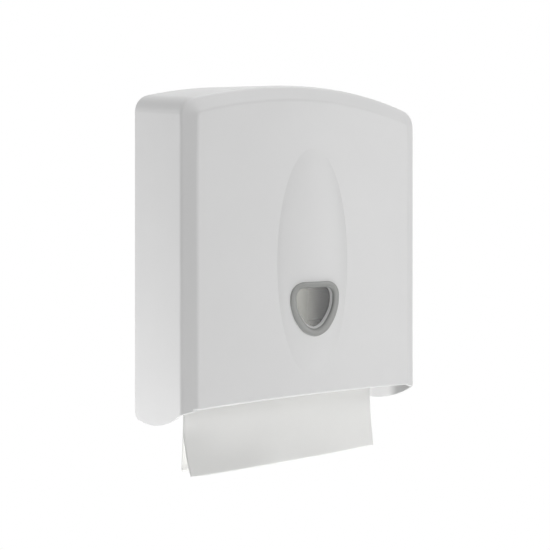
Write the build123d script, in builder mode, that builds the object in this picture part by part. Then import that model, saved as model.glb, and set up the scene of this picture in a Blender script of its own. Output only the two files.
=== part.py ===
from build123d import *
import os
from math import atan, degrees, sqrt

# Wall dispenser for folded paper hand towels.
# Frame: the wall is the plane y = 0, the front faces -Y, +Z is up, and the origin is the
# middle of the four wall screws. All lengths are millimetres.

os.makedirs("parts", exist_ok=True)

# ---------------------------------------------------------------- driving sizes

# towels, and the room the cover leaves beside them
towel_width = 240.0
cover_side_room = 25.0

# cover: outline at the wall, outline at the front bevel, and the bowed front
cover_half_width = towel_width / 2 + cover_side_room
cover_side_draft = 1.5
cover_top = 186.4
cover_front_top = 172.7
cover_bottom = -186.4
cover_arch_radius = 516.0
cover_front_arch_radius = 460.0
cover_corner_radius = 20.0
cover_wall = 2.8
cover_wall_gap = 0.6
bevel_plane = 125.0
bevel_depth = 8.0
bevel_width = 15.0
bevel_outer_round = 5.0
bevel_inner_round = 6.0
front_bow = 6.0
front_bottom = -150.5
front_bottom_arch_radius = 2290.0
front_lip_round = 2.4
rear_corner_radius = 10.0
belly_start = 20.0
belly_radius = 205.0
belly_end = 118.0

# raised oval on the front: outline, height over the bowed face, and how steep its edge is
oval_half_width = 41.6
oval_half_height = 118.3
oval_centre_z = -12.0
oval_height = 5.5
oval_edge_share = 0.9

# level window: shield outline of its bezel and what sits in it
shield_centre_z = -60.5
shield_half_width = 29.3
shield_half_height = 28.6
shield_shoulder = 4.7
shield_point = 6.6
shield_top_round = 15.2
shield_side_round = 41.0
shield_point_round = 18.0
bezel_width = 6.8
bezel_proud = 1.9
bezel_outer_round = 1.5
bezel_inner_bevel = 1.9
bezel_inner_bevel_angle = 45.0
bezel_lap = 2.5
bezel_seat_gap = 0.1
bezel_throat = 5.2
bezel_throat_slope = 2.0
bezel_back_wall = 3.0
bezel_hook = 1.2
bezel_hook_length = 9.0
bezel_hook_height = 2.0
bezel_hook_gap = 0.15
pane_thickness = 2.0
pane_gap = 0.1
pane_rebate_depth = 2.4

# back plate
plate_thickness = 2.6
plate_side_gap = 1.2
plate_bottom = -183.0
plate_bottom_round = 6.0
plate_rim_depth = 8.0
plate_rim_thickness = 2.2
rib_height = 4.0
rib_thickness = 2.0
rib_x = 62.0
rib_z = 64.0
rib_overrun = 45.0
wall_screw_spacing_x = 190.0
wall_screw_spacing_z = 240.0
wall_screw_radius = 2.75
wall_screw_boss_radius = 8.0
wall_screw_boss_height = 3.4
wall_screw_sink_radius = 5.4

# hinge at the lower back edge
hinge_y = 16.0
hinge_z = -177.0
hinge_pin_radius = 3.0
hinge_running_gap = 0.05
hinge_boss_radius = 6.5
hinge_boss_length = 6.5
hinge_ear_radius = 7.5
hinge_ear_thickness = 4.5
hinge_side_gap = 0.5
hinge_pin_head_radius = 4.6
hinge_pin_head = 1.6
hinge_blind_wall = 1.4
hinge_pin_end_gap = 0.6

# fasteners and their bosses
boss_radius = 4.5
screw_shank_radius = 1.6
screw_fit = 0.05
screw_clearance = 0.4
screw_head_radius = 3.4
screw_head_height = 2.0
screw_bite = 5.0

# paper tray
tray_side_gap = 3.8
tray_wall = 2.2
tray_floor_top = -146.0
tray_back = 8.6
tray_front_gap = 5.7
tray_clear_height = 200.0
tray_side_top = -118.0
tray_lip_top = -74.5
tray_lip_flat_half = 58.0
tray_corner_round = 10.0
tray_flange_drop = 20.0
tray_flange_inset = 10.0
tray_screw_spacing = 180.0
slot_middle = 75.0
slot_width = 34.0
slot_roll = 6.0
slot_edge_round = 1.6
tray_rib_height = 4.0
tray_rib_thickness = 2.0
tray_rib_pitch = 50.0

# towels: the stack, and the two leaves of the towel that is ready to pull
stack_edge_inset = 1.0
stack_side_gap = 2.0
stack_back = 9.5
stack_depth = 104.0
stack_top = 30.0
stack_fold_round = 4.0
soft_seat_gap = 0.3
leaf_thickness = 0.8
leaf_bottom = -233.0
leaf_pair_gap = 1.4
front_leaf_lean = 8.0
front_leaf_bend = 40.0

# guide rails
rail_bottom = -110.0
rail_top = 112.0
rail_depth = 62.0
rail_thickness = 2.2
rail_foot_width = 12.0
rail_lead_in = 7.0
rail_corner_round = 14.0
rail_boss_height = 4.0
rail_screw_spacing = 170.0

# cam lock in the cover's top wall
lock_y = 30.0
lock_pocket_radius = 12.0
lock_pocket_depth = 2.1
lock_boss_wall = 1.8
lock_boss_depth = 6.0
lock_flange_radius = 10.8
lock_flange_height = 1.8
lock_shank_radius = 8.0
lock_shank_length = 24.0
lock_hole_gap = 0.2
lock_washer_radius = 11.6
lock_washer_height = 1.0
lock_nut_flats = 21.0
lock_nut_height = 5.0
lock_plug_radius = 5.5
lock_running_gap = 0.05
lock_plug_proud = 0.4
lock_plug_tail = 0.3
lock_key_slot_length = 6.0
lock_key_slot_width = 1.6
lock_key_slot_depth = 4.0
lock_square = 6.4
cam_square_gap = 0.1
cam_thickness = 2.0
cam_hub_radius = 7.0
cam_arm_width = 8.0
cam_reach = 20.0
cam_tip_thickness = 2.6
cam_tip_drop = 8.6
cam_screw_head_radius = 4.6
cam_screw_head_height = 2.4
cam_screw_bite = 8.0

# catch that the cam hooks behind
catch_thickness = 1.5
catch_boss_height = 6.0
catch_foot_width = 36.0
catch_foot_height = 16.0
catch_screw_spacing = 22.0
catch_tab_width = 12.0
catch_tab_play = 1.7
catch_shelf_gap = 6.0
catch_cam_gap = 1.4

# ---------------------------------------------------------------- places worked out from them

# half width of the front where the bevel begins
cover_front_half_width = cover_half_width - cover_side_draft
front_bow_half = cover_front_half_width - bevel_width

# depth of the front's edge where the bevel ends, and of the bowed front's middle
front_plane = bevel_plane + bevel_depth
front_middle = front_plane + front_bow
bow_radius = (front_bow_half**2 + front_bow**2) / (2 * front_bow)

# long enough to cut right through the whole cover
through = 4 * cover_half_width

hinge_boss_inner = cover_half_width - cover_wall - hinge_boss_length + 0.4
pin_hole_end = cover_half_width - hinge_blind_wall
hinge_ear_outer = hinge_boss_inner - hinge_side_gap
hinge_ear_inner = hinge_ear_outer - hinge_ear_thickness

plate_inset = cover_wall + plate_side_gap
towel_half_width = towel_width / 2
tray_inner_half_width = towel_half_width + tray_side_gap
tray_half_width = tray_inner_half_width + tray_wall
tray_front = front_plane - cover_wall - tray_front_gap
stack_half_width = towel_half_width - stack_edge_inset
rail_inner = stack_half_width + stack_side_gap
leaf_top = tray_floor_top - 2 * soft_seat_gap


def facing_front(depth):
    """A sketch plane parallel to the wall, facing the front, with X to the right and Z up."""
    return Plane(origin=(0, -depth, 0), x_dir=(1, 0, 0), z_dir=(0, -1, 0))


def along_depth(near, far, depth):
    """The value at a depth on a straight draft from the wall to the bevel."""
    return near + (far - near) * (depth - cover_wall_gap) / (bevel_plane - cover_wall_gap)


def cover_outline(depth, inset, bottom, bottom_round=0.0):
    """The arched outline of the cover at a depth, moved inwards by an inset."""
    half = along_depth(cover_half_width, cover_front_half_width, depth) - inset
    top = along_depth(cover_top, cover_front_top, depth) - inset
    arch = along_depth(cover_arch_radius, cover_front_arch_radius, depth) - inset
    shoulder = top - (arch - sqrt(arch**2 - half**2))
    with BuildSketch(facing_front(depth)) as outline:
        with BuildLine():
            Polyline((-half, shoulder), (-half, bottom), (half, bottom), (half, shoulder))
            ThreePointArc((half, shoulder), (0, top), (-half, shoulder))
        make_face()
        fillet(outline.vertices().sort_by(Axis.Y)[-2:], cover_corner_radius - inset)
        if bottom_round:
            fillet(outline.vertices().sort_by(Axis.Y)[:2], bottom_round)
    return outline.sketch


def on_bevel_shoulder(edge, bottom):
    """Whether an edge of the cover's form lies where the bevel meets a side wall or the top."""
    middle = edge.center()
    box = edge.bounding_box()
    behind_face = -front_plane + 1 < middle.Y < -bevel_plane + bevel_depth
    along_wall = box.size.Y < bevel_depth and max(box.size.X, box.size.Z) > bevel_depth
    return behind_face and along_wall and middle.Z > bottom + 1


def cover_form(inset):
    """The solid form of the cover: drafted walls, a bowed front and a bevel round the front."""
    near = cover_wall_gap if inset == 0 else -cover_wall_gap
    far = front_middle + bevel_width
    bottom = cover_bottom - bevel_width
    rear = cover_outline(near, inset, bottom)
    front = cover_outline(far, inset, bottom)

    # an inset form keeps the wall's thickness under the bevel too
    slope = sqrt(bevel_depth**2 + bevel_width**2)
    reach = bevel_depth * bevel_width / slope
    share = 1 + inset * (1 - (bevel_depth + bevel_width) / slope) / reach
    with BuildPart() as form:
        loft([rear.face(), front.face()], ruled=True)
        with Locations((0, bow_radius - front_middle + inset, 0)):
            Cylinder(bow_radius, through, mode=Mode.INTERSECT)
        face = form.faces().sort_by(Axis.Y)[0]
        rim = face.edges().filter_by(lambda edge: edge.center().Z > bottom + 1)
        chamfer(rim, bevel_width * share, bevel_depth * share, reference=face)

        # soften where the bevel meets the face, then where it meets the walls
        face = form.faces().sort_by(Axis.Y)[0]
        rim = face.edges().filter_by(lambda edge: edge.center().Z > bottom + 1)
        fillet(rim, bevel_inner_round - inset)
        shoulder = form.edges().filter_by(lambda edge: on_bevel_shoulder(edge, bottom))
        fillet(shoulder, bevel_outer_round - inset)
    return form.part


def oval_form(inset):
    """The ellipsoid that stands out of the bowed front as the raised oval."""
    sunk = sqrt(1 - oval_edge_share**2)
    rise = oval_height / (1 - sunk)
    centre = Pos(0, rise * sunk - front_middle, oval_centre_z)
    reach = (
        oval_half_width / oval_edge_share - inset,
        rise - inset,
        oval_half_height / oval_edge_share - inset,
    )
    return centre * scale(Sphere(1), by=reach)


def shield(inset, depth):
    """The window's shield outline: nearly flat top, sides that close to a rounded point."""
    top = shield_centre_z + shield_half_height
    shoulder = shield_centre_z - shield_shoulder
    point = shield_centre_z - shield_half_height - shield_point
    half = shield_half_width
    with BuildSketch(facing_front(depth)) as outline:
        with BuildLine():
            Polyline((-half, top), (half, top), (half, shoulder), (0, point), (-half, shoulder), close=True)
        make_face()
        fillet(outline.vertices().sort_by(Axis.Y)[-2:], shield_top_round)
        fillet(outline.vertices().sort_by(Axis.Y)[:1], shield_point_round)
        fillet([v for v in outline.vertices() if abs(v.Y - shoulder) < shield_shoulder], shield_side_round)
        if inset:
            offset(amount=-inset, mode=Mode.REPLACE)
    return outline.sketch


def shield_prism(inset, front, back):
    """A straight prism of the shield between two depths."""
    with BuildPart() as prism:
        extrude(shield(inset, back), amount=front - back)
    return prism.part


def pan_screw(bite, head_radius, head_height, shank_radius):
    """A pan-head screw that points along -Z, its head's seat at the origin."""
    with BuildPart() as screw:
        with BuildSketch(Plane.XZ):
            with BuildLine():
                Polyline(
                    (0, -bite),
                    (shank_radius * 0.4, -bite),
                    (shank_radius, -bite + shank_radius),
                    (shank_radius, 0),
                    (head_radius, 0),
                    (head_radius, head_height * 0.45),
                )
                ThreePointArc(
                    (head_radius, head_height * 0.45),
                    (head_radius * 0.7, head_height * 0.88),
                    (0, head_height),
                )
                Line((0, head_height), (0, -bite))
            make_face()
        revolve(axis=Axis.Z)
        with Locations((0, 0, head_height)):
            Box(head_radius, head_radius * 0.28, head_height, mode=Mode.SUBTRACT)
            Box(head_radius * 0.28, head_radius, head_height, mode=Mode.SUBTRACT)
    return screw.part


def save(builder, name):
    """Label a finished piece and write it."""
    builder.part.label = name
    export_step(builder.part, f"parts/{name}.step")


# ---------------------------------------------------------------- front cover

lock_top_z = along_depth(cover_top, cover_front_top, lock_y)
lock_seat_z = lock_top_z - lock_pocket_depth
lock_boss_bottom = lock_seat_z - lock_boss_depth

outer_form = cover_form(0)
outer_oval = oval_form(0)
cavity_form = cover_form(cover_wall)
cavity_oval = oval_form(cover_wall)

with BuildPart() as front_cover:
    add(outer_form)
    add(outer_oval)
    add(cavity_form, mode=Mode.SUBTRACT)
    add(cavity_oval, mode=Mode.SUBTRACT)

    # boss under the lock's pocket
    with BuildSketch(Plane.XY.offset(lock_boss_bottom)):
        with Locations((0, -lock_y)):
            Circle(lock_pocket_radius + lock_boss_wall)
    extrude(amount=lock_boss_depth + lock_pocket_depth - cover_wall / 2)

    # hinge bosses inside both side walls
    for side in (-1, 1):
        with BuildSketch(Plane.YZ.offset(side * hinge_boss_inner)):
            with Locations((-hinge_y, hinge_z)):
                Circle(hinge_boss_radius)
        extrude(amount=side * (hinge_boss_length + 1))
        with BuildSketch(Plane.YZ.offset(side * (hinge_boss_inner - 1))):
            with Locations((-hinge_y, hinge_z)):
                Circle(hinge_pin_radius + hinge_running_gap)
        extrude(amount=side * (pin_hole_end - hinge_boss_inner + 1), mode=Mode.SUBTRACT)

    # lower edge of both side walls: rounded at the wall, then a belly that rises to the front
    belly_rise = belly_radius - sqrt(belly_radius**2 - (belly_end - belly_start) ** 2)
    belly_middle = (belly_end - belly_start) / 2
    belly_middle_rise = belly_radius - sqrt(belly_radius**2 - belly_middle**2)
    front_corner = front_bottom - front_bottom_arch_radius + sqrt(
        front_bottom_arch_radius**2 - cover_front_half_width**2
    )
    with BuildSketch(Plane.YZ):
        with BuildLine():
            Polyline(
                (-belly_end, cover_bottom + belly_rise),
                (-front_plane + cover_wall, front_corner),
                (-through, front_corner),
                (-through, 2 * cover_bottom),
                (through, 2 * cover_bottom),
                (through, cover_bottom + rear_corner_radius),
                (0, cover_bottom + rear_corner_radius),
            )
            RadiusArc(
                (0, cover_bottom + rear_corner_radius),
                (-rear_corner_radius, cover_bottom),
                rear_corner_radius,
            )
            Line((-rear_corner_radius, cover_bottom), (-belly_start, cover_bottom))
            ThreePointArc(
                (-belly_start, cover_bottom),
                (-belly_start - belly_middle, cover_bottom + belly_middle_rise),
                (-belly_end, cover_bottom + belly_rise),
            )
        make_face()
    extrude(amount=through, both=True, mode=Mode.SUBTRACT)

    # lower edge of the front, arched a little over the towel
    with BuildSketch(facing_front(front_plane - cover_wall - 0.2)):
        with Locations((0, front_bottom - front_bottom_arch_radius)):
            Circle(front_bottom_arch_radius)
    extrude(amount=through, mode=Mode.SUBTRACT)

    # rounded outer lip along that edge
    lip = front_cover.edges().filter_by(
        lambda edge: edge.length > front_bow_half and edge.bounding_box().max.Z < front_bottom + 1
    )
    fillet(lip.sort_by(Axis.Y)[0], front_lip_round)

    # window opening through the oval
    add(shield_prism(bezel_lap, front_middle + through / 10, front_plane - through / 10), mode=Mode.SUBTRACT)

    # lock pocket and hole
    with BuildSketch(Plane.XY.offset(lock_seat_z)):
        with Locations((0, -lock_y)):
            Circle(lock_pocket_radius)
    extrude(amount=cover_corner_radius, mode=Mode.SUBTRACT)
    with BuildSketch(Plane.XY.offset(lock_boss_bottom - 1)):
        with Locations((0, -lock_y)):
            Circle(lock_shank_radius + lock_hole_gap)
    extrude(amount=lock_boss_depth + 2, mode=Mode.SUBTRACT)

save(front_cover, "front_cover")

# ---------------------------------------------------------------- window bezel and pane

oval_crown = front_middle + oval_height
pane_front = oval_crown - bezel_throat

flange = shield_prism(0, oval_crown + 2 * bezel_proud, front_plane)
flange_skin = oval_form(-bezel_proud)
seat_skin = oval_form(-bezel_seat_gap)
neck_inset = bezel_lap + bezel_seat_gap
neck_back = pane_front - pane_rebate_depth - bezel_back_wall
neck = shield_prism(neck_inset, oval_crown, neck_back)
throat_slope = bezel_throat_slope / (bezel_throat + bezel_proud)
throat_inset = bezel_width + throat_slope * (oval_crown + bezel_proud - neck_back)
throat_taper = degrees(atan(throat_slope))
rebate_inset = neck_inset + bezel_back_wall


def behind_oval(x, z):
    """The depth of the cover's inner surface behind the raised oval."""
    sunk = sqrt(1 - oval_edge_share**2)
    rise = oval_height / (1 - sunk)
    across = x / (oval_half_width / oval_edge_share - cover_wall)
    up = (z - oval_centre_z) / (oval_half_height / oval_edge_share - cover_wall)
    return front_middle - rise * sunk + (rise - cover_wall) * sqrt(1 - across**2 - up**2)


hook_z = shield_centre_z + shield_half_height / 2
hook_x = shield_half_width - neck_inset + bezel_hook
hook_width = bezel_hook + bezel_back_wall / 2

with BuildPart() as window_bezel:
    # ring that follows the oval, with the neck behind it and a rounded outer edge
    add(flange)
    add(flange_skin, mode=Mode.INTERSECT)
    add(seat_skin, mode=Mode.SUBTRACT)
    add(neck)
    fillet(window_bezel.faces().sort_by(Axis.Y)[0].outer_wire().edges(), bezel_outer_round)

    # throat that narrows to the pane, with a bevelled rim
    extrude(
        shield(throat_inset, neck_back),
        amount=oval_crown + 3 * bezel_proud - neck_back,
        taper=-throat_taper,
        mode=Mode.SUBTRACT,
    )
    extrude(
        shield(bezel_width + bezel_throat_slope, oval_crown - bezel_inner_bevel),
        amount=bezel_inner_bevel + 3 * bezel_proud,
        taper=-bezel_inner_bevel_angle,
        mode=Mode.SUBTRACT,
    )

    # rebate that holds the pane
    add(shield_prism(rebate_inset, pane_front, front_plane - through / 10), mode=Mode.SUBTRACT)

    # snap hooks behind the cover's wall
    hook_front = behind_oval(hook_x, hook_z - bezel_hook_length / 2) - bezel_hook_gap
    with Locations(
        (hook_width / 2 - hook_x, -hook_front, hook_z),
        (hook_x - hook_width / 2, -hook_front, hook_z),
    ):
        Box(
            hook_width,
            bezel_hook_height,
            bezel_hook_length,
            align=(Align.CENTER, Align.MIN, Align.CENTER),
        )

save(window_bezel, "window_bezel")

with BuildPart() as window_pane:
    extrude(shield(rebate_inset + pane_gap, pane_front - pane_thickness), amount=pane_thickness)

save(window_pane, "window_pane")

# ---------------------------------------------------------------- back plate

cam_bottom_z = lock_seat_z - lock_shank_length - lock_plug_tail - cam_thickness
catch_tab_top = cam_bottom_z - catch_cam_gap
catch_foot_top = cam_bottom_z + cam_thickness - cam_tip_drop - catch_shelf_gap
catch_foot_middle = catch_foot_top - catch_foot_height / 2
plate_front = plate_thickness


def plate_posts(places, radius, near, far):
    """Round posts between two depths, to add to the back plate or to take out of it."""
    with BuildPart() as posts:
        with BuildSketch(facing_front(near)):
            with Locations(*places):
                Circle(radius)
        extrude(amount=far - near)
    return posts.part


tray_screw_z = tray_floor_top - tray_wall - tray_flange_drop / 2 - 1
tray_screws_at = [(side * tray_screw_spacing / 2, tray_screw_z) for side in (-1, 1)]
rail_screw_x = rail_inner + rail_thickness + rail_foot_width / 2
rail_middle_z = (rail_bottom + rail_top) / 2
rail_screws_at = [
    (side * rail_screw_x, rail_middle_z + end * rail_screw_spacing / 2) for side in (-1, 1) for end in (-1, 1)
]
catch_screws_at = [(side * catch_screw_spacing / 2, catch_foot_middle) for side in (-1, 1)]
tray_boss_height = tray_back - plate_front

with BuildPart() as back_plate:
    # a pan: the plate and the rim that stands into the cover
    extrude(cover_outline(0, plate_inset, plate_bottom, plate_bottom_round), amount=plate_rim_depth)
    inner_rim = cover_outline(
        plate_front,
        plate_inset + plate_rim_thickness,
        plate_bottom + plate_rim_thickness,
        plate_bottom_round - plate_rim_thickness,
    )
    extrude(inner_rim, amount=plate_rim_depth, mode=Mode.SUBTRACT)

    # stiffening ribs behind the towels
    with BuildSketch(facing_front(plate_front - 0.5)):
        with Locations((-rib_x, 0), (rib_x, 0)):
            Rectangle(rib_thickness, 2 * (rib_z + rib_overrun))
        with Locations((0, -rib_z), (0, rib_z)):
            Rectangle(2 * rib_x, rib_thickness)
    extrude(amount=rib_height + 0.5)

    # screw bosses with blind pilot holes
    for places, height in (
        (tray_screws_at, tray_boss_height),
        (rail_screws_at, rail_boss_height),
        (catch_screws_at, catch_boss_height),
    ):
        seat = plate_front + height
        add(plate_posts(places, boss_radius, plate_front - 0.5, seat))
        add(
            plate_posts(places, screw_shank_radius + screw_fit, seat - screw_bite - 0.5, seat + 1),
            mode=Mode.SUBTRACT,
        )

    # hinge ears
    for side in (-1, 1):
        with BuildSketch(Plane.YZ.offset(side * hinge_ear_inner)):
            with Locations((-hinge_y, hinge_z)):
                Circle(hinge_ear_radius)
            with BuildLine():
                Polyline(
                    (-hinge_y, hinge_z + hinge_ear_radius),
                    (-plate_front + 0.5, hinge_z + 2 * hinge_ear_radius),
                    (-plate_front + 0.5, plate_bottom + plate_rim_thickness / 2),
                    (-hinge_y, plate_bottom + plate_rim_thickness / 2),
                    close=True,
                )
            make_face()
        extrude(amount=side * hinge_ear_thickness)
        with BuildSketch(Plane.YZ.offset(side * (hinge_ear_inner - 1))):
            with Locations((-hinge_y, hinge_z)):
                Circle(hinge_pin_radius + screw_fit)
        extrude(amount=side * (hinge_ear_thickness + 2), mode=Mode.SUBTRACT)

    # wall screw bosses and their holes
    with BuildSketch(facing_front(plate_front - 0.5)):
        with GridLocations(wall_screw_spacing_x, wall_screw_spacing_z, 2, 2):
            Circle(wall_screw_boss_radius)
    extrude(amount=wall_screw_boss_height + 0.5)
    with Locations(facing_front(plate_front + wall_screw_boss_height)):
        with GridLocations(wall_screw_spacing_x, wall_screw_spacing_z, 2, 2):
            CounterSinkHole(wall_screw_radius, wall_screw_sink_radius)

save(back_plate, "back_plate")

# ---------------------------------------------------------------- hinge pins

for side, side_name in ((-1, "left"), (1, "right")):
    pin_end = pin_hole_end - hinge_pin_end_gap
    with BuildPart() as hinge_pin:
        with BuildSketch(Plane.YZ.offset(side * (hinge_ear_inner - 0.05))):
            with Locations((-hinge_y, hinge_z)):
                Circle(hinge_pin_head_radius)
        extrude(amount=-side * hinge_pin_head)
        with BuildSketch(Plane.YZ.offset(side * (hinge_ear_inner - 0.5))):
            with Locations((-hinge_y, hinge_z)):
                Circle(hinge_pin_radius)
        extrude(amount=side * (pin_end - hinge_ear_inner + 0.5))
        ends = hinge_pin.faces().filter_by(Axis.X).sort_by(Axis.X)
        chamfer([ends[0].edges()[0], ends[-1].edges()[0]], 0.5)
    save(hinge_pin, f"hinge_pin_{side_name}")

# ---------------------------------------------------------------- paper tray

slot_front = slot_middle + slot_width / 2
slot_back = slot_middle - slot_width / 2
tray_floor_bottom = tray_floor_top - tray_wall

with BuildPart() as paper_tray:
    # an open box: floor, side walls and a high front wall that narrows to its top
    with BuildSketch(facing_front(tray_back)) as tray_face:
        with BuildLine():
            Polyline(
                (-tray_half_width, tray_floor_bottom),
                (tray_half_width, tray_floor_bottom),
                (tray_half_width, tray_side_top),
                (tray_lip_flat_half + (tray_lip_top - tray_side_top), tray_side_top),
                (tray_lip_flat_half, tray_lip_top),
                (-tray_lip_flat_half, tray_lip_top),
                (-tray_lip_flat_half - (tray_lip_top - tray_side_top), tray_side_top),
                (-tray_half_width, tray_side_top),
                close=True,
            )
        make_face()
        bends = [v for v in tray_face.vertices() if abs(v.X) < tray_half_width - 1]
        fillet(bends, tray_corner_round * 1.6)
    extrude(amount=tray_front - tray_back)
    with BuildSketch(facing_front(tray_back - 1)):
        with Locations((0, tray_floor_top)):
            Rectangle(2 * tray_inner_half_width, tray_clear_height, align=(Align.CENTER, Align.MIN))
    extrude(amount=tray_front - tray_back - tray_wall + 1, mode=Mode.SUBTRACT)

    # rolled lips down both edges of the slot, then the slot
    with BuildSketch(Plane.YZ.offset(-tray_inner_half_width)):
        with Locations((-slot_middle, tray_floor_top)):
            Rectangle(slot_width + 2 * tray_wall, slot_roll + tray_wall, align=(Align.CENTER, Align.MAX))
    extrude(amount=2 * tray_inner_half_width)
    with BuildSketch(Plane.YZ.offset(-tray_inner_half_width)):
        with Locations((-slot_middle, 0)):
            Rectangle(slot_width, 1.6 * through)
    extrude(amount=2 * tray_inner_half_width, mode=Mode.SUBTRACT)

    # the slot's upper edges are rounded for the paper
    slot_edges = paper_tray.edges().filter_by(Axis.X).filter_by(
        lambda edge: abs(edge.center().Z - tray_floor_top) < 0.01
        and slot_back - 0.01 < -edge.center().Y < slot_front + 0.01
    )
    fillet(slot_edges, slot_edge_round)

    # ribs under the floor, on both sides of the slot
    with BuildSketch(Plane.XY.offset(tray_floor_bottom + tray_wall / 2)):
        with GridLocations(tray_rib_pitch, 1, 5, 1):
            with Locations((0, -(tray_back + tray_wall + slot_back) / 2)):
                Rectangle(tray_rib_thickness, slot_back - tray_back - tray_wall)
            with Locations((0, -(slot_front + tray_front - tray_wall) / 2)):
                Rectangle(tray_rib_thickness, tray_front - tray_wall - slot_front)
    extrude(amount=-(tray_rib_height + tray_wall / 2))

    # flange down the back plate
    with BuildSketch(facing_front(tray_back)) as flange_face:
        with Locations((0, tray_floor_bottom + tray_wall / 2)):
            Rectangle(
                2 * (tray_half_width - tray_flange_inset),
                tray_flange_drop,
                align=(Align.CENTER, Align.MAX),
            )
        fillet(flange_face.vertices().group_by(Axis.Y)[0], tray_corner_round / 2)
    extrude(amount=tray_wall)
    with BuildSketch(facing_front(tray_back - 1)):
        with Locations(*tray_screws_at):
            Circle(screw_shank_radius + screw_clearance)
    extrude(amount=tray_wall + 2, mode=Mode.SUBTRACT)

save(paper_tray, "paper_tray")


def screw_group(places, seat_depth, name):
    """Identical screws driven towards the wall, their heads seated at one depth."""
    screw = pan_screw(screw_bite - screw_fit, screw_head_radius, screw_head_height, screw_shank_radius)
    with BuildPart() as group:
        with Locations(facing_front(seat_depth + screw_fit)):
            with Locations(*places):
                add(screw)
    save(group, name)


screw_group(tray_screws_at, tray_back + tray_wall, "tray_screws")

# ---------------------------------------------------------------- guide rails

rail_seat = plate_front + rail_boss_height

for side, side_name in ((-1, "left"), (1, "right")):
    with BuildPart() as guide_rail:
        # L section: a foot on the back plate and a wall beside the towels with a flared edge
        with BuildSketch(Plane.XY.offset(rail_bottom)):
            with BuildLine():
                Polyline(
                    (side * rail_inner, -rail_seat),
                    (side * rail_inner, -rail_depth),
                    (side * (rail_inner + rail_lead_in / 2), -rail_depth - rail_lead_in),
                    (side * (rail_inner + rail_thickness + rail_lead_in / 2), -rail_depth - rail_lead_in),
                    (side * (rail_inner + rail_thickness), -rail_depth),
                    (side * (rail_inner + rail_thickness), -rail_seat - rail_thickness),
                    (side * (rail_inner + rail_thickness + rail_foot_width), -rail_seat - rail_thickness),
                    (side * (rail_inner + rail_thickness + rail_foot_width), -rail_seat),
                    close=True,
                )
            make_face()
        extrude(amount=rail_top - rail_bottom)

        # rounded upper and lower front corners
        with BuildSketch(Plane.YZ) as rail_side:
            with Locations((-rail_seat, rail_middle_z)):
                Rectangle(
                    rail_depth + rail_lead_in - rail_seat,
                    rail_top - rail_bottom,
                    align=(Align.MAX, Align.CENTER),
                )
            fillet(rail_side.vertices().group_by(Axis.X)[0], rail_corner_round)
        extrude(amount=through, both=True, mode=Mode.INTERSECT)
        with BuildSketch(facing_front(rail_seat - 1)):
            with Locations(*[place for place in rail_screws_at if place[0] * side > 0]):
                Circle(screw_shank_radius + screw_clearance)
        extrude(amount=rail_thickness + 2, mode=Mode.SUBTRACT)
    save(guide_rail, f"guide_rail_{side_name}")

screw_group(rail_screws_at, rail_seat + rail_thickness, "guide_screws")

# ---------------------------------------------------------------- cam lock

lock_shank_bottom = lock_seat_z - lock_shank_length

with BuildPart() as lock_body:
    with BuildSketch(Plane.XY.offset(lock_seat_z)):
        with Locations((0, -lock_y)):
            Circle(lock_flange_radius)
    extrude(amount=lock_flange_height)
    chamfer(lock_body.faces().sort_by(Axis.Z)[-1].edges(), 0.5)
    with BuildSketch(Plane.XY.offset(lock_seat_z)):
        with Locations((0, -lock_y)):
            Circle(lock_shank_radius)
    extrude(amount=-lock_shank_length)
    with BuildSketch(Plane.XY.offset(lock_shank_bottom - 1)):
        with Locations((0, -lock_y)):
            Circle(lock_plug_radius + lock_running_gap)
    extrude(amount=lock_shank_length + lock_flange_height + 2, mode=Mode.SUBTRACT)

save(lock_body, "lock_body")

with BuildPart() as lock_washer:
    with BuildSketch(Plane.XY.offset(lock_boss_bottom)):
        with Locations((0, -lock_y)):
            Circle(lock_washer_radius)
            Circle(lock_shank_radius + screw_fit, mode=Mode.SUBTRACT)
    extrude(amount=-lock_washer_height)

save(lock_washer, "lock_washer")

with BuildPart() as lock_nut:
    with BuildSketch(Plane.XY.offset(lock_boss_bottom - lock_washer_height)):
        with Locations((0, -lock_y)):
            RegularPolygon(lock_nut_flats / 2, 6, major_radius=False)
            Circle(lock_shank_radius + screw_fit, mode=Mode.SUBTRACT)
    extrude(amount=-lock_nut_height)

save(lock_nut, "lock_nut")

plug_top = lock_seat_z + lock_flange_height + lock_plug_proud
plug_bottom = lock_shank_bottom - lock_plug_tail

with BuildPart() as lock_barrel:
    with BuildSketch(Plane.XY.offset(plug_bottom)):
        with Locations((0, -lock_y)):
            Circle(lock_plug_radius)
    extrude(amount=plug_top - plug_bottom)
    chamfer(lock_barrel.faces().sort_by(Axis.Z)[-1].edges(), 0.4)
    with BuildSketch(Plane.XY.offset(plug_bottom)):
        with Locations((0, -lock_y)):
            Rectangle(lock_square, lock_square)
    extrude(amount=-cam_thickness)

    # key slot in the top, and the hole for the cam's screw
    with BuildSketch(Plane.XY.offset(plug_top)):
        with Locations((0, -lock_y)):
            Rectangle(lock_key_slot_length, lock_key_slot_width)
    extrude(amount=-lock_key_slot_depth, mode=Mode.SUBTRACT)
    with BuildSketch(Plane.XY.offset(plug_bottom - cam_thickness)):
        with Locations((0, -lock_y)):
            Circle(screw_shank_radius + screw_fit)
    extrude(amount=cam_screw_bite, mode=Mode.SUBTRACT)

save(lock_barrel, "lock_barrel")

cam_tip_inner = cam_reach - cam_tip_thickness

with BuildPart() as lock_cam:
    with BuildSketch(Plane.XY.offset(cam_bottom_z)):
        with Locations((0, -lock_y)):
            Circle(cam_hub_radius)
            Rectangle(cam_reach, cam_arm_width, align=(Align.MIN, Align.CENTER))
            Rectangle(
                lock_square + 2 * cam_square_gap, lock_square + 2 * cam_square_gap, mode=Mode.SUBTRACT
            )
    extrude(amount=cam_thickness)
    with BuildSketch(Plane.XY.offset(cam_bottom_z + cam_thickness)):
        with Locations((cam_tip_inner, -lock_y)):
            Rectangle(cam_tip_thickness, cam_arm_width, align=(Align.MIN, Align.CENTER))
    extrude(amount=-cam_tip_drop)

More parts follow.
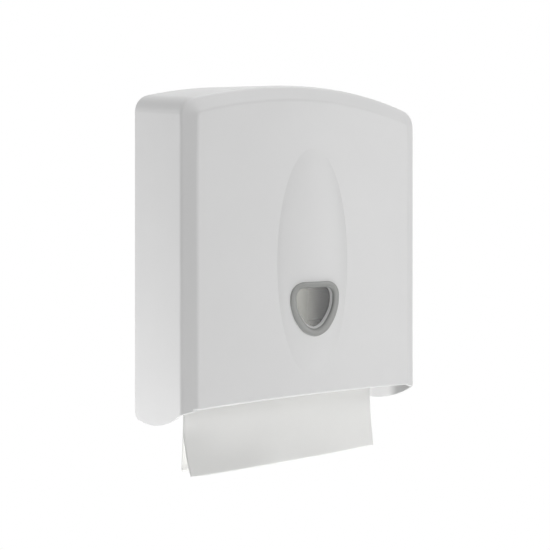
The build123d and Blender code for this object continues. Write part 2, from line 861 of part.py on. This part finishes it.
save(lock_cam, "lock_cam")

cam_screw = pan_screw(
    cam_screw_bite - 1, cam_screw_head_radius, cam_screw_head_height, screw_shank_radius
)
with BuildPart() as lock_cam_screw:
    with Locations(Location((0, -lock_y, cam_bottom_z - screw_fit), (180, 0, 0))):
        add(cam_screw)

save(lock_cam_screw, "lock_cam_screw")

# ---------------------------------------------------------------- catch plate

catch_seat = plate_front + catch_boss_height
catch_tab_back = lock_y - cam_tip_inner + catch_tab_play
catch_tab_front = catch_tab_back + catch_thickness

with BuildPart() as catch_plate:
    with BuildSketch(facing_front(catch_seat)) as catch_foot:
        with Locations((0, catch_foot_top)):
            Rectangle(catch_foot_width, catch_foot_height, align=(Align.CENTER, Align.MAX))
        fillet(catch_foot.vertices(), 2)
        with Locations(*catch_screws_at):
            Circle(screw_shank_radius + screw_clearance, mode=Mode.SUBTRACT)
    extrude(amount=catch_thickness)

    # shelf out to the cam, and the tab turned up from it
    with BuildSketch(Plane.YZ.offset(-catch_tab_width / 2)):
        with BuildLine():
            Polyline(
                (-catch_seat, catch_foot_top - 3),
                (-catch_seat, catch_foot_top),
                (-catch_tab_back, catch_foot_top),
                (-catch_tab_back, catch_tab_top),
                (-catch_tab_front, catch_tab_top),
                (-catch_tab_front, catch_foot_top - catch_thickness),
                (-catch_seat - catch_thickness, catch_foot_top - catch_thickness),
                (-catch_seat - catch_thickness, catch_foot_top - 3),
                close=True,
            )
        make_face()
    extrude(amount=catch_tab_width)

save(catch_plate, "catch_plate")

screw_group(catch_screws_at, catch_seat + catch_thickness, "catch_screws")

# ---------------------------------------------------------------- towels

with BuildPart() as towel_stack:
    with BuildSketch(Plane.YZ.offset(-stack_half_width)) as stack_face:
        with Locations((-stack_back, tray_floor_top + soft_seat_gap)):
            Rectangle(
                stack_depth,
                stack_top - tray_floor_top - soft_seat_gap,
                align=(Align.MAX, Align.MIN),
            )
        fillet(stack_face.vertices(), stack_fold_round)
    extrude(amount=2 * stack_half_width)

save(towel_stack, "towel_stack")

rear_leaf_y = slot_middle - leaf_pair_gap / 2 - leaf_thickness
front_leaf_y = slot_middle + leaf_pair_gap / 2

with BuildPart() as towel_rear_leaf:
    with BuildSketch(Plane.YZ.offset(-towel_half_width)):
        with Locations((-rear_leaf_y, leaf_top)):
            Rectangle(leaf_thickness, leaf_top - leaf_bottom - 1, align=(Align.MAX, Align.MAX))
    extrude(amount=towel_width)

save(towel_rear_leaf, "towel_rear_leaf")

with BuildPart() as towel_front_leaf:
    with BuildSketch(Plane.YZ.offset(-towel_half_width)):
        with BuildLine():
            Spline(
                (-front_leaf_y, leaf_top),
                (-front_leaf_y - front_leaf_lean * 0.55, leaf_top - front_leaf_bend),
                (-front_leaf_y - front_leaf_lean, leaf_bottom),
                tangents=[(0, -1), (0, -1)],
            )
            Line(
                (-front_leaf_y - front_leaf_lean, leaf_bottom),
                (-front_leaf_y - front_leaf_lean - leaf_thickness, leaf_bottom),
            )
            Spline(
                (-front_leaf_y - front_leaf_lean - leaf_thickness, leaf_bottom),
                (-front_leaf_y - front_leaf_lean * 0.55 - leaf_thickness, leaf_top - front_leaf_bend),
                (-front_leaf_y - leaf_thickness, leaf_top),
                tangents=[(0, 1), (0, 1)],
            )
            Line((-front_leaf_y - leaf_thickness, leaf_top), (-front_leaf_y, leaf_top))
        make_face()
    extrude(amount=towel_width)

save(towel_front_leaf, "towel_front_leaf")
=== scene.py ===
import random
from math import radians, sqrt

import bmesh
import bpy
from mathutils import Matrix, Vector, noise


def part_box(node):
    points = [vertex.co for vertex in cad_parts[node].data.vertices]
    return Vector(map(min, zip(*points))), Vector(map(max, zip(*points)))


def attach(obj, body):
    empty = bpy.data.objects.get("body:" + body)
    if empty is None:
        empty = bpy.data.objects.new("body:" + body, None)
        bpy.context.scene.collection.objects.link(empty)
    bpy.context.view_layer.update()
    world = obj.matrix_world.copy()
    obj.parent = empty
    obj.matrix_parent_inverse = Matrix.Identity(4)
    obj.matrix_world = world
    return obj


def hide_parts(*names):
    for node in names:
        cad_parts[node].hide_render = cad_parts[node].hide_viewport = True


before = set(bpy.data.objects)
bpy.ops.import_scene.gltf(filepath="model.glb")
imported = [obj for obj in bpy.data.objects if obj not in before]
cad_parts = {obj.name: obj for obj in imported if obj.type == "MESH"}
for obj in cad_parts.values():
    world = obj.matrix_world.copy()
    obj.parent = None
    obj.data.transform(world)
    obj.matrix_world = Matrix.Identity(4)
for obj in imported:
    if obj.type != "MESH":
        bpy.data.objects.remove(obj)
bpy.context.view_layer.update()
MM = 0.001


# ---------------------------------------------------------------- camera and studio

camera_lens = bpy.data.cameras.new("camera")
camera_lens.sensor_width = 36.0
camera_lens.lens = 56.96
camera_lens.shift_y = -0.1177
camera = bpy.data.objects.new("camera", camera_lens)
camera.location = (-0.4803, -0.9110, 0.042)
camera.rotation_euler = (radians(90), 0, radians(-29.36))
bpy.context.scene.collection.objects.link(camera)
bpy.context.scene.camera = camera
bpy.context.scene.view_settings.view_transform = "Standard"

# name, place, width and height in metres, watts: all point at the middle of the dispenser
SOFTBOXES = (
    ("softbox_above", (0.1, -0.2, 1.6), (1.6, 1.2), 13.0),
    ("softbox_above_left", (-1.2, -0.3, 1.3), (1.0, 1.0), 6.8),
    ("softbox_front", (0, -2.0, 0.1), (1.2, 1.4), 9.6),
    ("softbox_right_front", (1.2, -1.5, 0.2), (0.9, 1.6), 14.0),
    ("softbox_right_rear", (1.6, 0.4, 0.2), (0.9, 1.6), 1.5),
    ("softbox_below", (0, -0.3, -1.2), (1.2, 0.8), 11.0),
    ("softbox_low_left", (-1.5, -0.5, -0.7), (0.8, 0.6), 3.5),
    ("softbox_low_left_rear", (-0.9, 0.8, -1.0), (0.7, 0.7), 21.2),
)
ROOM_LIGHT = 0.03
DISPENSER_MIDDLE = Vector((0, -0.07, 0))
FLOOR_DROP = 1.25
FLOOR_SIDE = 2.6


def add_node(tree, kind, sockets=None, **settings):
    """Add a node, set its properties, and give each socket a value or the output that feeds it."""
    made = tree.nodes.new(kind)
    for name, value in settings.items():
        setattr(made, name, value)
    for socket, value in (sockets or {}).items():
        if isinstance(value, bpy.types.NodeSocket):
            tree.links.new(value, made.inputs[socket])
        else:
            made.inputs[socket].default_value = value
    return made


def rgb(code):
    """The linear colour of an sRGB hex code."""
    parts = [int(code[i : i + 2], 16) / 255 for i in (0, 2, 4)]
    return (*[p / 12.92 if p <= 0.04045 else ((p + 0.055) / 1.055) ** 2.4 for p in parts], 1.0)


def per_mm(size):
    """The texture scale at which a pattern's features are a size in millimetres."""
    return 1000 / size


def build_studio():
    """White surroundings for the eye and for mirrors, a dim room light, and the softboxes."""
    world = bpy.data.worlds.new("studio")
    bpy.context.scene.world = world
    world.use_nodes = True
    tree = world.node_tree
    tree.nodes.clear()
    path = add_node(tree, "ShaderNodeLightPath")
    seen_or_mirrored = add_node(
        tree,
        "ShaderNodeMath",
        {0: path.outputs["Is Camera Ray"], 1: path.outputs["Is Glossy Ray"]},
        operation="ADD",
        use_clamp=True,
    )
    shown = add_node(
        tree,
        "ShaderNodeMath",
        {0: seen_or_mirrored.outputs[0], 1: path.outputs["Is Transmission Ray"]},
        operation="ADD",
        use_clamp=True,
    )
    room = add_node(tree, "ShaderNodeBackground", {"Color": (1, 1, 1, 1), "Strength": ROOM_LIGHT})
    white = add_node(tree, "ShaderNodeBackground", {"Color": (1, 1, 1, 1), "Strength": 1.0})
    both = add_node(
        tree,
        "ShaderNodeMixShader",
        {0: shown.outputs[0], 1: room.outputs[0], 2: white.outputs[0]},
    )
    add_node(tree, "ShaderNodeOutputWorld", {"Surface": both.outputs[0]})

    for name, place, (width, height), watts in SOFTBOXES:
        lamp = bpy.data.lights.new(name, "AREA")
        lamp.shape = "RECTANGLE"
        lamp.size, lamp.size_y = width, height
        lamp.energy = watts
        box = bpy.data.objects.new(name, lamp)
        box.location = place
        towards = DISPENSER_MIDDLE - Vector(place)
        box.rotation_euler = towards.to_track_quat("-Z", "Y").to_euler()
        bpy.context.scene.collection.objects.link(box)


build_studio()


# ---------------------------------------------------------------- materials


def new_material(name):
    """A node material with only its Principled shader, and Object coordinates to read."""
    material = bpy.data.materials.new(name)
    material.use_nodes = True
    tree = material.node_tree
    where = add_node(tree, "ShaderNodeTexCoord").outputs["Object"]
    return material, tree, tree.nodes["Principled BSDF"], where


def feed(tree, shader, **outputs):
    """Link outputs to the shader's sockets of the same names."""
    for socket, output in outputs.items():
        tree.links.new(output, shader.inputs[socket.replace("_", " ")])


def cloudy(tree, where, size_mm, detail):
    """Cloudy noise whose features are a size in millimetres."""
    sockets = {"Vector": where, "Scale": per_mm(size_mm), "Detail": detail}
    return add_node(tree, "ShaderNodeTexNoise", sockets)


def mixed(tree, share, first, second):
    """The colour between two sRGB hex codes by a share."""
    sockets = {"Factor": share, 6: rgb(first), 7: rgb(second)}
    return add_node(tree, "ShaderNodeMix", sockets, data_type="RGBA").outputs[2]


def ranged(tree, share, low, high):
    """The value between low and high by a share."""
    sockets = {"Value": share, "To Min": low, "To Max": high}
    return add_node(tree, "ShaderNodeMapRange", sockets).outputs["Result"]


def relief(tree, height, strength, depth_mm):
    """The normal of a bumpy skin of a depth in millimetres."""
    sockets = {"Height": height, "Strength": strength, "Distance": depth_mm * MM}
    return add_node(tree, "ShaderNodeBump", sockets).outputs["Normal"]


GLOSS_SPREAD = 0.05  # how far a moulded skin's roughness strays to each side


def moulded_abs(name, shade, pale, gloss, grain_mm, grain_depth_mm):
    """Injection-moulded ABS: an even colour with faint flow clouds, a satin skin from a
    spark-eroded mould, and a fine grain that breaks up its highlights."""
    material, tree, shader, where = new_material(name)
    clouds = cloudy(tree, where, 70, 2.0).outputs["Fac"]
    skin = cloudy(tree, where, 9, 3.0).outputs["Fac"]
    grain = cloudy(tree, where, grain_mm, 2.0).outputs["Fac"]
    shader.inputs["IOR"].default_value = 1.53
    feed(
        tree,
        shader,
        Base_Color=mixed(tree, clouds, shade, pale),
        Roughness=ranged(tree, skin, gloss - GLOSS_SPREAD, gloss + GLOSS_SPREAD),
        Normal=relief(tree, grain, 0.4, grain_depth_mm),
    )
    return material


cover_abs = moulded_abs("satin_white_abs", "DBDBDB", "DFDFDF", 0.42, 0.9, 0.02)
plate_abs = moulded_abs("matte_white_abs", "D9D9D7", "DFDFDD", 0.58, 1.1, 0.04)
bezel_abs = moulded_abs("satin_grey_abs", "8D8E8C", "929391", 0.36, 0.8, 0.015)
# painted shade: the tray and its rails are as pale as the cover, and their dark grey stands in for
# the shade inside the dispenser
tray_painted_shade_abs = moulded_abs("painted_shade_grey_abs", "3A3A3C", "424244", 0.52, 1.1, 0.04)


def zinc_plated_steel():
    """Zinc-plated steel: a dull silver with the cloudy bloom of the plating bath."""
    material, tree, shader, where = new_material("zinc_plated_steel")
    bloom = cloudy(tree, where, 2.5, 4.0).outputs["Fac"]
    shader.inputs["Metallic"].default_value = 1.0
    feed(
        tree,
        shader,
        Base_Color=mixed(tree, bloom, "A4A6AA", "C4C5C8"),
        Roughness=ranged(tree, bloom, 0.26, 0.46),
    )
    return material


def chromed_zinc():
    """Chrome on die-cast zinc: a bright mirror with a faint haze from handling."""
    material, tree, shader, where = new_material("chrome_plated_zinc")
    haze = cloudy(tree, where, 6, 3.0).outputs["Fac"]
    shader.inputs["Metallic"].default_value = 1.0
    feed(
        tree,
        shader,
        Base_Color=mixed(tree, haze, "D2D3D6", "DFE0E3"),
        Roughness=ranged(tree, haze, 0.07, 0.17),
    )
    return material


# where the pane's painted light at its left gives way to painted shade at its right
PAINTED_LIGHT_UP_TO = -22 * MM
PAINTED_SHADE_FROM = 14 * MM


def smoked_styrene_painted_shading():
    """Smoke-tinted polystyrene: glossy, with painted light at its left and painted shade at its
    right over its own smoke tint, and clear enough to show the paper behind it."""
    material, tree, shader, where = new_material("smoked_styrene_painted_shading")
    place = add_node(tree, "ShaderNodeSeparateXYZ", {"Vector": where})
    # painted light at the pane's left fading to painted shade at its right, partly the pane's own
    # smoke tint
    across = add_node(
        tree,
        "ShaderNodeMapRange",
        {"Value": place.outputs["X"], "From Min": PAINTED_LIGHT_UP_TO, "From Max": PAINTED_SHADE_FROM},
        interpolation_type="SMOOTHSTEP",
    )
    scuffs = cloudy(tree, where, 4, 4.0).outputs["Fac"]
    shader.inputs["IOR"].default_value = 1.59
    shader.inputs["Alpha"].default_value = 0.52
    feed(
        tree,
        shader,
        Base_Color=mixed(tree, across.outputs["Result"], "C9C9C0", "20211E"),
        Roughness=ranged(tree, scuffs, 0.05, 0.14),
    )
    return material


def tissue_paper():
    """Two-ply crêped tissue: soft white, matte, with fine crêpe ripples across the sheet and a
    faint cloudiness of the pulp."""
    material, tree, shader, where = new_material("tissue_paper")
    pulp = cloudy(tree, where, 14, 3.0).outputs["Fac"]
    # the ripples are three times as long across the sheet as they are high
    drawn = add_node(tree, "ShaderNodeMapping", {"Vector": where, "Scale": (0.33, 1.0, 1.0)})
    ripples = cloudy(tree, drawn.outputs["Vector"], 0.9, 2.0).outputs["Fac"]
    feed(
        tree,
        shader,
        Base_Color=mixed(tree, pulp, "F8F8F6", "FBFBF9"),
        Roughness=ranged(tree, pulp, 0.84, 0.94),
        Normal=relief(tree, ripples, 0.35, 0.06),
    )
    return material


def painted_floor():
    """A painted studio floor: pale, matte, with a slight unevenness."""
    material, tree, shader, where = new_material("painted_floor")
    uneven = cloudy(tree, where, 300, 3.0).outputs["Fac"]
    shader.inputs["Roughness"].default_value = 0.9
    feed(tree, shader, Base_Color=mixed(tree, uneven, "ECECEB", "F1F1F0"))
    return material


steel = zinc_plated_steel()
chrome = chromed_zinc()
pane_styrene_painted_shading = smoked_styrene_painted_shading()
tissue = tissue_paper()


# ---------------------------------------------------------------- pieces


def piece(name, shape, material, crease=None, smooth=True):
    """A mesh object at the origin from a finished bmesh, sharp where it turns by over crease."""
    mesh = bpy.data.meshes.new(name)
    bmesh.ops.recalc_face_normals(shape, faces=shape.faces)
    shape.to_mesh(mesh)
    shape.free()
    mesh.materials.append(material)
    if smooth:
        mesh.shade_smooth()
    if crease:
        mesh.set_sharp_from_angle(angle=radians(crease))
    made = bpy.data.objects.new(name, mesh)
    bpy.context.scene.collection.objects.link(made)
    return made


floor_shape = bmesh.new()
bmesh.ops.create_grid(
    floor_shape,
    x_segments=1,
    y_segments=1,
    size=FLOOR_SIDE / 2,
    matrix=Matrix.Translation((0, 0, -FLOOR_DROP)),
)
piece("floor", floor_shape, painted_floor(), smooth=False)


# the window's outline in millimetres: a corner's half-width, its height and how far it is
# rounded off
WINDOW_CORNERS = ((29.6, -32.0, 15.9), (29.6, -64.5, 13.2), (11.4, -89.1, 11.2))
CORNER_SEGMENTS = 14
SAME_PLACE = 0.1  # how near to a corner a point counts as that corner
LONG_EDGE = 3.0  # longer edges are cut up
LONG_EDGE_CUTS = 8
WINDOW_CREASE = 35  # degrees: sharper turns than this stay sharp

# the raised oval of the cover that the window sits on, in millimetres
OVAL_REACH = (46.22, 131.44)
OVAL_MIDDLE = -12.0
OVAL_CROWN = 144.5
OVAL_RISE = 9.753

# the window's inner outlines close in towards their low end and stay out at their top: from a
# height, over a distance, in millimetres, and by shares of each step inwards
CLOSING_FROM = -60.0
CLOSING_DROP = 28.0
CLOSING_ACROSS = 0.012
CLOSING_UP = 0.08
TOP_FROM = -50.0
TOP_RISE = 10.0
RING_TOP_SHARE = 0.12
COLLAR_TOP_SHARE = 0.95

# sections of the window's bands in millimetres: how far in a band starts, how far out its front
# and its back start there, and then steps inwards and outwards
RING_START = (0.0, 0.7, 0.0)
RING_FRONT = (
    (0.2, 0.45),
    (0.5, 0.35),
    (0.9, 0.2),
    (1.4, -0.03),
    (1.5, -0.22),
    (1.2, -0.4),
    (0.8, -0.6),
    (0.5, -1.0),
    (0.25, -1.7),
    (0.05, -7.3),
)
RING_BACK = ((2.6, 0.0), (0.02, 9.6))
COLLAR_START = (7.5, -2.2, -2.6)
COLLAR_FRONT = ((0.2, -0.05), (0.3, -0.5), (0.4, -1.05), (0.4, -1.1), (0.4, -1.1))
COLLAR_BACK = ((0.05, 3.4),)

# the pane in millimetres: how far in its edge is, how far its front is from the wall, how far
# below the oval the bands turn flat, and its thickness
PANE_EDGE = 7.4
PANE_PLANE = 138.4
PANE_DEPTH = 6.1
PANE_THICKNESS = 2.0


def close_in(face, inwards, top_share):
    """Draw the low points of a face inwards and upwards, and its top points upwards."""
    for point in face.verts:
        low = min(1.0, max(0.0, (CLOSING_FROM - point.co.z) / CLOSING_DROP))
        high = min(1.0, max(0.0, (point.co.z - TOP_FROM) / TOP_RISE))
        point.co.x *= 1 - CLOSING_ACROSS * inwards * low
        point.co.z += (CLOSING_UP * low + top_share * high) * inwards


def window_outline(shape, inset):
    """A face with the window's outline, looking out of the front, and smaller by an inset."""
    right = [corner[:2] for corner in WINDOW_CORNERS]
    left = [(-half, height) for half, height in reversed(right)]
    shape.faces.new([shape.verts.new((x, 0, z)) for x, z in right + left])
    for half, height, cut in WINDOW_CORNERS:
        corner = Vector((half, 0, height))
        pair = [
            point
            for point in shape.verts
            if (Vector((abs(point.co.x), 0, point.co.z)) - corner).length < SAME_PLACE
        ]
        bmesh.ops.bevel(
            shape,
            geom=pair,
            offset=cut,
            segments=CORNER_SEGMENTS,
            profile=0.5,
            affect="VERTICES",
            material=-1,
        )
    straights = [edge for edge in shape.edges if edge.calc_length() > LONG_EDGE]
    bmesh.ops.subdivide_edges(shape, edges=straights, cuts=LONG_EDGE_CUTS)
    shape.normal_update()
    face = shape.faces[:][0]
    if face.normal.y > 0:
        face.normal_flip()
    if inset:
        bmesh.ops.inset_region(
            shape, faces=[face], thickness=inset, use_boundary=True, use_even_offset=True
        )
        close_in(face, inset, RING_TOP_SHARE)
        outside = [other for other in shape.faces if other != face]
        bmesh.ops.delete(shape, geom=outside, context="FACES")
    return face


def step_inwards(shape, face, steps, top_share):
    """Inset a face again and again, take it out, and give the edges of its hole."""
    for inwards, outwards in steps:
        bmesh.ops.inset_region(
            shape, faces=[face], thickness=inwards, depth=outwards, use_even_offset=True
        )
        close_in(face, inwards, top_share)
    edges = face.edges[:]
    bmesh.ops.delete(shape, geom=[face], context="FACES_ONLY")
    return edges


def oval_surface(x, z):
    """How far in front of the wall the raised oval stands, in millimetres."""
    across, up = x / OVAL_REACH[0], (z - OVAL_MIDDLE) / OVAL_REACH[1]
    return OVAL_CROWN - OVAL_RISE * (1 - sqrt(1 - across**2 - up**2))


def settle_on_oval(shape):
    """Carry a flat shape in millimetres onto the oval: its depths below the surface turn flat."""
    flat = PANE_PLANE + PANE_DEPTH
    for point in shape.verts:
        height = -point.co.y
        sunk = min(1.0, max(0.0, -height / PANE_DEPTH))
        seat = oval_surface(point.co.x, point.co.z)
        point.co.y = -(seat + (flat - seat) * sunk + height)
    bmesh.ops.scale(shape, vec=(MM, MM, MM), verts=shape.verts)


def window_band(name, start, front_steps, back_steps, top_share, material):
    """A closed band that follows the window's outline, with a front and a back section."""
    band = bmesh.new()
    inset, front_height, back_height = start
    front = window_outline(band, inset)
    back = bmesh.ops.duplicate(band, geom=[front])["geom"]
    back = next(item for item in back if isinstance(item, bmesh.types.BMFace))
    bmesh.ops.translate(band, vec=(0, -front_height, 0), verts=front.verts)
    bmesh.ops.translate(band, vec=(0, -back_height, 0), verts=back.verts)
    bmesh.ops.bridge_loops(band, edges=front.edges[:] + back.edges[:])
    back.normal_flip()
    inner = step_inwards(band, front, front_steps, top_share)
    inner += step_inwards(band, back, back_steps, top_share)
    bmesh.ops.bridge_loops(band, edges=inner)
    settle_on_oval(band)
    return piece(name, band, material, crease=WINDOW_CREASE)


def window_glazing():
    """The smoky pane: a flat plate held behind the window's collar."""
    pane = bmesh.new()
    front = window_outline(pane, PANE_EDGE)
    plate = bmesh.ops.extrude_face_region(pane, geom=[front])["geom"]
    ends = [item for item in plate if isinstance(item, bmesh.types.BMVert)]
    bmesh.ops.translate(pane, vec=(0, PANE_THICKNESS, 0), verts=ends)
    bmesh.ops.translate(pane, vec=(0, -PANE_PLANE, 0), verts=pane.verts)
    bmesh.ops.scale(pane, vec=(MM, MM, MM), verts=pane.verts)
    return piece("window_glazing", pane, pane_styrene_painted_shading, crease=WINDOW_CREASE)


window_ring = window_band(
    "window_ring", RING_START, RING_FRONT, RING_BACK, RING_TOP_SHARE, bezel_abs
)
window_collar = window_band(
    "window_collar", COLLAR_START, COLLAR_FRONT, COLLAR_BACK, COLLAR_TOP_SHARE, cover_abs
)
glazing = window_glazing()
for part, finish in (
    (window_ring, "bezel_plastic"),
    (window_collar, "cover_plastic"),
    (glazing, "smoked_pane"),
):
    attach(part, "cover")
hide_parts("window_bezel")
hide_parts("window_pane")


TOWEL_WIDTH = 0.240
STACK_LOW, STACK_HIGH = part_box("towel_stack")
TOWEL_PITCH = 2.2 * MM
TOWEL_FILL = 0.97  # a folded towel's share of its pitch
FOLD_ROUND = 0.42  # its fold's radius, as a share of its pitch
FOLD_SEGMENTS = 3
SLIP_ROOM = 0.8 * MM  # room on each side of the stack
SLIP_SHARE = 0.8  # how much of that room it may slip through
WAVE_SPANS = 12  # lengths that it is cut into so that it can wave
WAVE_ACROSS = 22  # noise per metre across the stack and up it
WAVE_UP = 30
WAVE_SHARE = 0.3  # how far it waves, as a share of its pitch


def folded_towels():
    """The stack of folded towels: thin slabs with rounded fold edges, each a little out of line."""
    shuffle = random.Random(7)
    stack = bmesh.new()
    low, high = Vector(STACK_LOW), Vector(STACK_HIGH)
    count = round((high.z - low.z) / TOWEL_PITCH)
    pitch = (high.z - low.z) / count
    size = Vector(
        (
            high.x - low.x - 2 * SLIP_ROOM,
            high.y - low.y - 2 * SLIP_ROOM,
            pitch * TOWEL_FILL,
        )
    )
    for layer in range(count):
        slip_x = shuffle.uniform(-SLIP_ROOM, SLIP_ROOM)
        slip_y = shuffle.uniform(-SLIP_ROOM, SLIP_ROOM)
        slip = Vector((slip_x, slip_y, 0)) * SLIP_SHARE
        middle = (low + high) / 2 + slip
        middle.z = low.z + (layer + 0.5) * pitch
        corners = bmesh.ops.create_cube(
            stack, matrix=Matrix.LocRotScale(middle, None, size)
        )["verts"]
        # each long edge once, in the same order on every run
        long_edges = dict.fromkeys(
            edge
            for corner in corners
            for edge in corner.link_edges
            if abs(edge.verts[0].co.x - edge.verts[1].co.x) > size.x / 2
        )
        bmesh.ops.bevel(
            stack,
            geom=list(long_edges),
            offset=pitch * FOLD_ROUND,
            segments=FOLD_SEGMENTS,
            profile=0.5,
            affect="EDGES",
            material=-1,
        )
    for step in range(1, WAVE_SPANS):
        cut = low.x + (high.x - low.x) * step / WAVE_SPANS
        everything = stack.verts[:] + stack.edges[:] + stack.faces[:]
        bmesh.ops.bisect_plane(stack, geom=everything, plane_co=(cut, 0, 0), plane_no=(1, 0, 0))
    for point in stack.verts:
        wave = noise.noise(Vector((point.co.x * WAVE_ACROSS, 0, point.co.z * WAVE_UP)))
        inside = min(point.co.z - low.z, high.z - point.co.z) / pitch
        point.co.z += wave * pitch * WAVE_SHARE * min(1.0, max(0.0, inside))
    return piece("folded_towel_stack", stack, tissue)


towel_stack = folded_towels()
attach(towel_stack, "wall_unit")
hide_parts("towel_stack")


# how far in front of the wall a leaf hangs, in millimetres: rows go down the leaf from the slot,
# in millimetres of paper, and columns go from its left edge to its right edge
FRONT_LEAF = (
    (0, (75.9, 75.9, 75.9, 75.9, 75.9)),
    (22, (76.8, 77.2, 76.2, 74.4, 71.2)),
    (45, (77.0, 78.4, 78.0, 75.8, 72.6)),
    (66, (83.4, 82.2, 81.4, 78.4, 74.9)),
    (88, (94.6, 89.4, 85.4, 81.6, 77.4)),
)
REAR_LEAF = (
    (0, (74.0, 74.0, 74.0, 74.0, 74.0)),
    (22, (75.2, 75.4, 74.6, 72.8, 69.8)),
    (45, (75.0, 75.6, 74.6, 72.0, 68.8)),
    (66, (73.4, 74.2, 74.8, 72.0, 69.0)),
    (85, (71.4, 72.6, 75.6, 73.4, 70.2)),
)
LEAF_KNOTS = (0, 0.25, 0.5, 0.75, 1)
LEAF_ROWS = 48
LEAF_COLUMNS = 120
RIPPLES_ACROSS = 5.2  # noise over the leaf's width
RIPPLE_DROP = 46  # mm down the leaf for one unit of noise
RIPPLE_HEIGHT = 2.4  # mm, at the leaf's low end
RIPPLE_GROWTH = 1.5  # how the ripples grow on the way down
PAPER_THICKNESS = 0.3 * MM


def between(knots, values, at):
    """A smooth value through knots (Catmull-Rom), with straight ends."""
    last = len(knots) - 1
    i = max(0, min(last - 1, sum(1 for knot in knots if knot <= at) - 1))
    span = knots[i + 1] - knots[i]
    t = (at - knots[i]) / span
    before = values[i - 1] if i else 2 * values[0] - values[1]
    after = values[i + 2] if i + 2 <= last else 2 * values[last] - values[last - 1]
    return 0.5 * (
        2 * values[i]
        + (values[i + 1] - before) * t
        + (2 * before - 5 * values[i] + 4 * values[i + 1] - after) * t * t
        + (3 * values[i] - before - 3 * values[i + 1] + after) * t**3
    )


def hanging_leaf(name, hang, top, ripple):
    """One leaf of the towel in the slot: a flat cut sheet whose points are moved to hang."""
    length = hang[-1][0]
    step = length * MM / LEAF_ROWS
    downs = [row[0] for row in hang]
    leaf = bmesh.new()
    bmesh.ops.create_grid(leaf, x_segments=LEAF_COLUMNS, y_segments=LEAF_ROWS, size=0.5)

    def front(share, down):
        rows = [between(LEAF_KNOTS, row[1], share) for row in hang]
        wave = noise.noise(Vector((share * RIPPLES_ACROSS, down / RIPPLE_DROP, ripple)))
        wave *= RIPPLE_HEIGHT * (down / length) ** RIPPLE_GROWTH
        return (between(downs, rows, down) + wave) * MM

    drops = {}
    for column in range(LEAF_COLUMNS + 1):
        share = column / LEAF_COLUMNS
        low = top
        drops[column, 0] = (front(share, 0), low)
        for row in range(1, LEAF_ROWS + 1):
            here = front(share, length * row / LEAF_ROWS)
            low -= sqrt(max(0.0, step**2 - (here - drops[column, row - 1][0]) ** 2))
            drops[column, row] = (here, low)
    for point in leaf.verts:
        share = point.co.x + 0.5
        key = (round(share * LEAF_COLUMNS), round((0.5 - point.co.y) * LEAF_ROWS))
        out, low = drops[key]
        point.co = Vector(((share - 0.5) * TOWEL_WIDTH, -out, low))
    sheet = piece(name, leaf, tissue)
    ply = sheet.modifiers.new("ply", "SOLIDIFY")
    ply.thickness = PAPER_THICKNESS
    ply.offset = 0
    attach(sheet, "towel")
    return sheet


leaf_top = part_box("towel_front_leaf")[1][2]
front_leaf = hanging_leaf("towel_leaf_front", FRONT_LEAF, leaf_top, ripple=3.7)
rear_leaf = hanging_leaf("towel_leaf_rear", REAR_LEAF, leaf_top, ripple=11.2)
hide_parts("towel_front_leaf")
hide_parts("towel_rear_leaf")


# ---------------------------------------------------------------- finishes of the solids

FINISHES = {
    "back_plate": plate_abs,
    "front_cover": cover_abs,
    "window_bezel": bezel_abs,
    "window_pane": pane_styrene_painted_shading,
    # painted shade: a dark grey for the pale tray and rails
    "paper_tray": tray_painted_shade_abs,
    "guide_rail_left": tray_painted_shade_abs,
    "guide_rail_right": tray_painted_shade_abs,
    "towel_stack": tissue,
    "towel_front_leaf": tissue,
    "towel_rear_leaf": tissue,
    "lock_body": chrome,
    "lock_barrel": chrome,
}
for name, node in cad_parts.items():
    for slot in node.material_slots:
        slot.material = FINISHES.get(name, steel)
